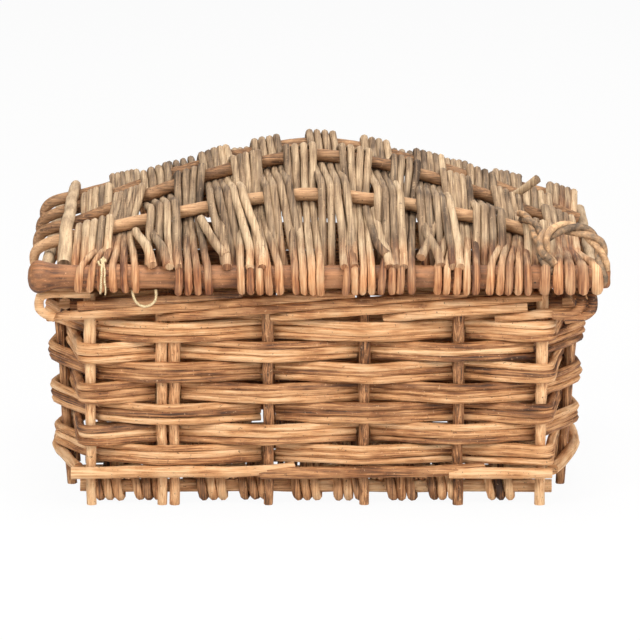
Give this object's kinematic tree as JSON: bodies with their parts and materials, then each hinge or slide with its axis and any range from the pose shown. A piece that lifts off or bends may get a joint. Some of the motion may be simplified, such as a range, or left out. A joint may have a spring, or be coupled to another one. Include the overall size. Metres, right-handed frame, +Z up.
{
  "type": "wicker hamper with hinged lid",
  "caption": "Old willow hamper, wider than deep, with leaning stakes, banded weave, a rolled border and a domed, hinged lid of bowed sticks and grey weavers.",
  "frame": {"origin": "on the floor, under the middle of the hamper's outline", "axes": "+X to the hamper's right seen from the front, along its length; +Y from the front to the hinges; +Z up"},
  "size_m": [0.5843, 0.4348, 0.3534],
  "materials": {
    "weaver_willow": "satin",
    "dark_willow": "satin",
    "weathered_willow": "matte",
    "stick_willow": "satin",
    "raffia_twine": "matte"
  },
  "bodies": {
    "hamper": {"base_front_stick": "dark_willow", "base_inner_sticks": "dark_willow", "base_rear_stick": "dark_willow", "base_weavers_from_front": "weaver_willow", "base_weavers_from_rear": "weaver_willow", "front_border": "dark_willow", "front_bottom_rods": "weaver_willow", "front_left_corner_stake": "dark_willow", "front_lower_weave": "weaver_willow", "front_right_corner_stake": "dark_willow", "front_stakes": "dark_willow", "front_upper_weave": "weaver_willow", "left_border": "dark_willow", "left_bottom_rod": "weaver_willow", "left_hinge_loops": "weaver_willow", "left_lower_weave": "weaver_willow", "left_stakes": "dark_willow", "left_upper_weave": "weaver_willow", "rear_border": "dark_willow", "rear_bottom_rods": "weaver_willow", "rear_left_corner_stake": "dark_willow", "rear_lower_weave": "weaver_willow", "rear_right_corner_stake": "dark_willow", "rear_stakes": "dark_willow", "rear_upper_weave": "weaver_willow", "right_border": "dark_willow", "right_bottom_rod": "weaver_willow", "right_hinge_loops": "weaver_willow", "right_lower_weave": "weaver_willow", "right_stakes": "dark_willow", "right_upper_weave": "weaver_willow", "rim_loops": "dark_willow"},
    "lid": {"lid_bowed_stick_1": "stick_willow", "lid_bowed_stick_2": "stick_willow", "lid_bowed_stick_3": "stick_willow", "lid_bowed_stick_4": "stick_willow", "lid_front_stick": "stick_willow", "lid_handle": "stick_willow", "lid_left_side_bar": "weathered_willow", "lid_left_top_bar": "weathered_willow", "lid_rear_stick": "stick_willow", "lid_right_side_bar": "stick_willow", "lid_weavers_1": "weathered_willow", "lid_weavers_2": "weathered_willow", "lid_weavers_3": "weathered_willow", "lid_weavers_4": "weathered_willow", "lid_weavers_5": "weathered_willow", "lid_weavers_6": "weathered_willow", "lid_weavers_7": "weathered_willow", "lid_weavers_8": "weathered_willow", "lid_weavers_9": "weathered_willow", "twine_loop": "raffia_twine", "twine_tie": "raffia_twine"}
  },
  "joints": [
    {"name": "lid_hinge", "type": "hinge", "parent": "hamper", "child": "lid", "pos_m": [0, 0.2, 0.24502], "axis": [-1, 0, 0], "range_deg": [0, 105]}
  ]
}
